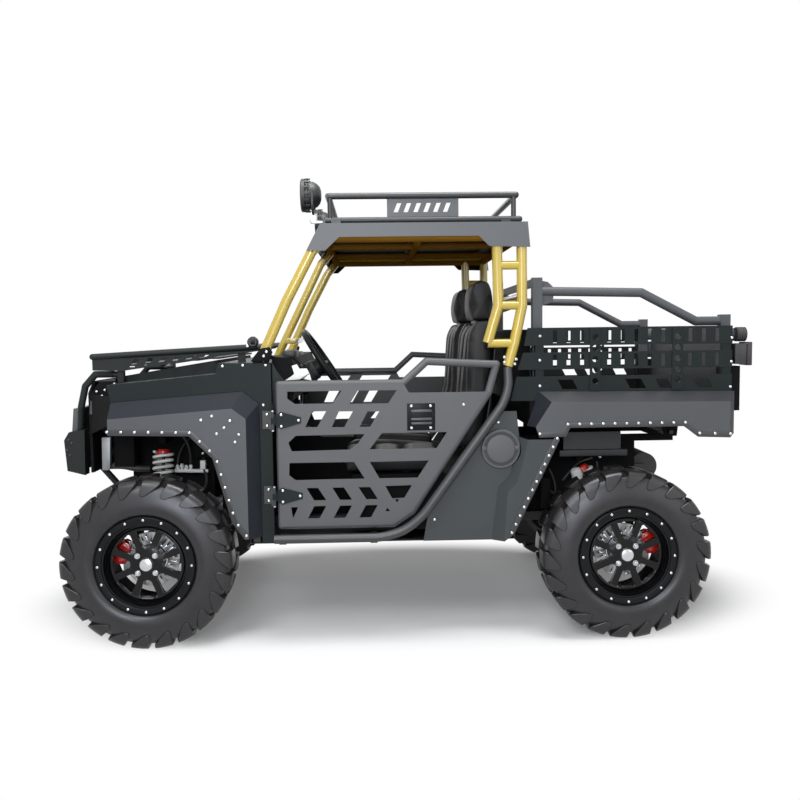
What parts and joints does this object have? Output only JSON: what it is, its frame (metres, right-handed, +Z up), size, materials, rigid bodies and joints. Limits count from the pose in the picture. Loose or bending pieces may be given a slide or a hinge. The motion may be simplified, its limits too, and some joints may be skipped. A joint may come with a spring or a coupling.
{
  "type": "side by side utility vehicle",
  "caption": "Open two-seat side by side utility vehicle with roll cage, racks, cut-out doors, tilting cargo bed with drop tailgate and lugged tyres.",
  "frame": {"origin": "on the ground under the middle of the overall box", "axes": "front faces -X, left side faces -Y, +Z up"},
  "size_m": [2.984, 1.54, 1.966],
  "materials": {
    "powder_grey": "fine textured powder coat",
    "powder_dark": "fine textured powder coat, dark greenish grey",
    "powder_black": "satin black powder coat",
    "cage_yellow": "gloss enamel",
    "frame_black": "chassis enamel",
    "tyre": "moulded rubber",
    "rim_black": "gloss black enamel with machined bolts",
    "steel": "machined steel",
    "cast": "as cast",
    "seat_vinyl": "sewn marine vinyl",
    "plastic_black": "moulded polypropylene",
    "lamp": "smoked polycarbonate lens",
    "tail_lamp": "moulded housing with red lens",
    "spring": "white powder-coated spring"
  },
  "bodies": {
    "chassis": {"main_frame": "frame_black", "front_frame": "frame_black", "rear_frame": "frame_black", "floor_pan": "frame_black", "console": "plastic_black", "engine": "cast", "seat_base": "plastic_black", "seat_l": "seat_vinyl", "seat_r": "seat_vinyl", "side_bars": "powder_black", "front_fascia": "powder_black", "headlamps": "lamp", "bumper": "powder_black", "winch": "powder_black", "hood": "powder_black", "hood_rack": "powder_black", "cowl_sides": "powder_dark", "front_fenders": "powder_grey", "cowl_top": "powder_black", "dash": "plastic_black", "steering_column": "plastic_black", "roll_cage": "cage_yellow", "roof_panel": "powder_grey", "roof_rack": "powder_black", "roof_lamps": "plastic_black", "quarter_panels": "powder_grey", "fuel_cap": "powder_grey", "air_box": "plastic_black", "exhaust": "steel", "front_arms": "frame_black", "rear_arms": "frame_black", "coil_overs": "spring", "drive_axles": "cast", "rear_hub_carriers": "cast", "rack_housing": "frame_black", "door_hinges": "powder_black", "bed_pivot": "frame_black"},
    "door_left": {"door_l": "powder_grey"},
    "door_right": {"door_r": "powder_grey"},
    "steering": {"steering_wheel": "plastic_black"},
    "rack": {"rack_bar": "steel"},
    "knuckle_left": {"knuckle_fl": "cast"},
    "knuckle_right": {"knuckle_fr": "cast"},
    "wheel_front_left": {"rim_fl": "rim_black", "tyre_fl": "tyre"},
    "wheel_front_right": {"rim_fr": "rim_black", "tyre_fr": "tyre"},
    "wheel_rear_left": {"rim_rl": "rim_black", "tyre_rl": "tyre"},
    "wheel_rear_right": {"rim_rr": "rim_black", "tyre_rr": "tyre"},
    "bed": {"bed_tub": "powder_black", "bed_fenders": "powder_grey", "bed_side_boards": "powder_dark", "bed_rails": "powder_grey", "tail_lamps": "tail_lamp"},
    "gate": {"tailgate": "powder_black"}
  },
  "joints": [
    {"name": "door_left_swing", "type": "hinge", "parent": "chassis", "child": "door_left", "pos_m": [-0.54, -0.688, 0.78], "axis": [0, 0, -1], "range_deg": [0, 75]},
    {"name": "door_right_swing", "type": "hinge", "parent": "chassis", "child": "door_right", "pos_m": [-0.54, 0.688, 0.78], "axis": [0, 0, 1], "range_deg": [0, 75]},
    {"name": "steering_turn", "type": "hinge", "parent": "chassis", "child": "steering", "pos_m": [-0.339, -0.33, 1.166], "axis": [0.8351, 0, 0.5501], "range_deg": [-238, 238]},
    {"name": "rack_slide", "type": "slide", "parent": "chassis", "child": "rack", "axis": [0, 1, 0], "range_m": [-0.053, 0.053]},
    {"name": "knuckle_left_steer", "type": "hinge", "parent": "chassis", "child": "knuckle_left", "pos_m": [-1.068, -0.594, 0.355], "axis": [0, 0, 1], "range_deg": [-28.5, 28.5]},
    {"name": "knuckle_right_steer", "type": "hinge", "parent": "chassis", "child": "knuckle_right", "pos_m": [-1.068, 0.594, 0.355], "axis": [0, 0, 1], "range_deg": [-28.5, 28.5]},
    {"name": "wheel_front_left_spin", "type": "hinge", "parent": "knuckle_left", "child": "wheel_front_left", "pos_m": [-1.068, -0.645, 0.355], "axis": [0, 1, 0], "continuous": true},
    {"name": "wheel_front_right_spin", "type": "hinge", "parent": "knuckle_right", "child": "wheel_front_right", "pos_m": [-1.068, 0.645, 0.355], "axis": [0, 1, 0], "continuous": true},
    {"name": "wheel_rear_left_spin", "type": "hinge", "parent": "chassis", "child": "wheel_rear_left", "pos_m": [0.932, -0.645, 0.355], "axis": [0, 1, 0], "continuous": true},
    {"name": "wheel_rear_right_spin", "type": "hinge", "parent": "chassis", "child": "wheel_rear_right", "pos_m": [0.932, 0.645, 0.355], "axis": [0, 1, 0], "continuous": true},
    {"name": "bed_tilt", "type": "hinge", "parent": "chassis", "child": "bed", "pos_m": [1.262, 0, 0.82], "axis": [0, 1, 0], "range_deg": [0, 40]},
    {"name": "tailgate_drop", "type": "hinge", "parent": "bed", "child": "gate", "pos_m": [1.44, 0, 0.905], "axis": [0, 1, 0], "range_deg": [0, 90]}
  ],
  "couplings": [
    {"joint": "knuckle_left_steer", "follows": "steering_turn", "ratio": 0.11765},
    {"joint": "knuckle_right_steer", "follows": "steering_turn", "ratio": 0.11765},
    {"joint": "rack_slide", "follows": "steering_turn", "m_per_rad": 0.011754}
  ]
}
